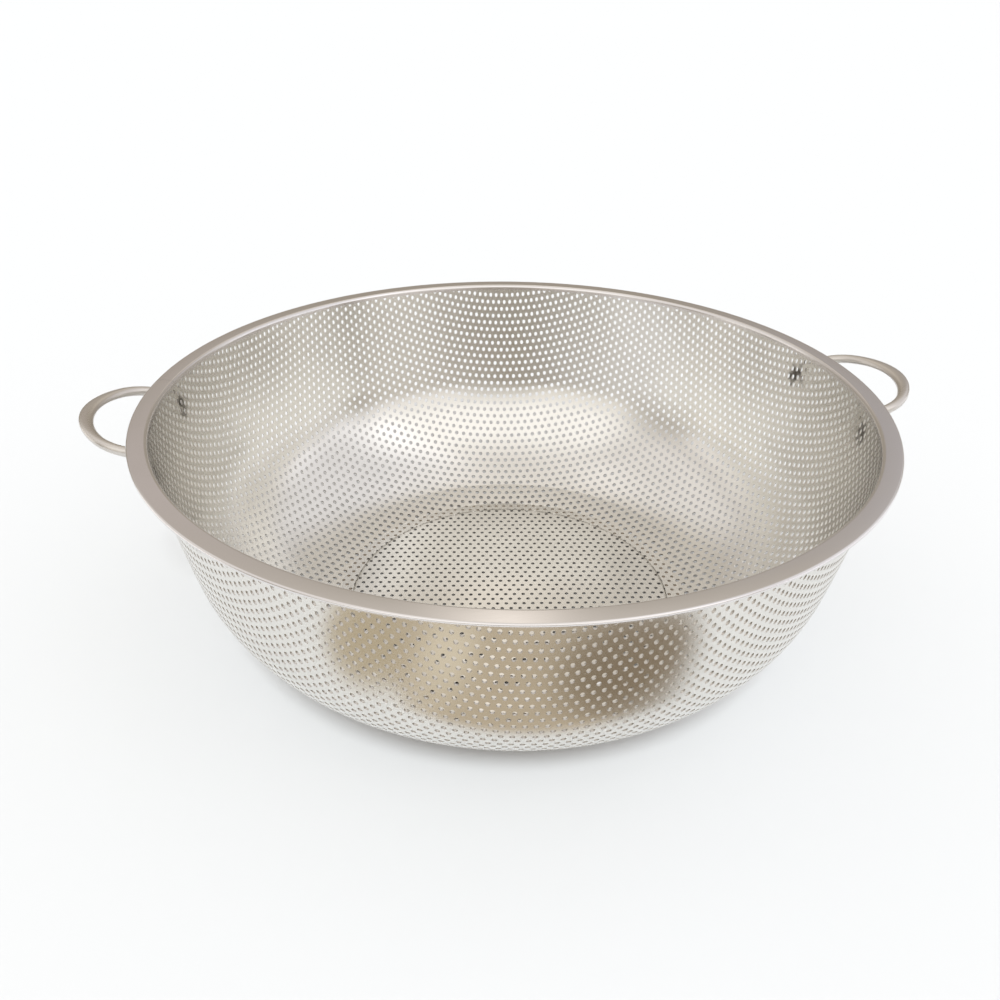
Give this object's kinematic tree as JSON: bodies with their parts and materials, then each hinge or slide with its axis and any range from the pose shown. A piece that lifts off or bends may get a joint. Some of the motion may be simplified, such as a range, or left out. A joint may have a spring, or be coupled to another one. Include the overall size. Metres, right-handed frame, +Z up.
{
  "type": "colander",
  "caption": "Round pressed steel colander with a folded flat rim, two welded wire loop handles and a low welded foot ring, for draining food.",
  "frame": {"origin": "on the table under the middle of the colander", "axes": "+Z up, +X through the middle of the right handle"},
  "size_m": [0.293, 0.26, 0.0948],
  "materials": {
    "perforated_sheet": "satin stainless sheet",
    "rim_strip": "satin stainless strip",
    "handle_wire": "satin stainless wire",
    "foot_strip": "satin stainless strip"
  },
  "bodies": {
    "root": {"perforated_bowl": "perforated_sheet", "rim_band": "rim_strip", "right_handle": "handle_wire", "left_handle": "handle_wire", "foot_ring": "foot_strip"}
  },
  "joints": []
}
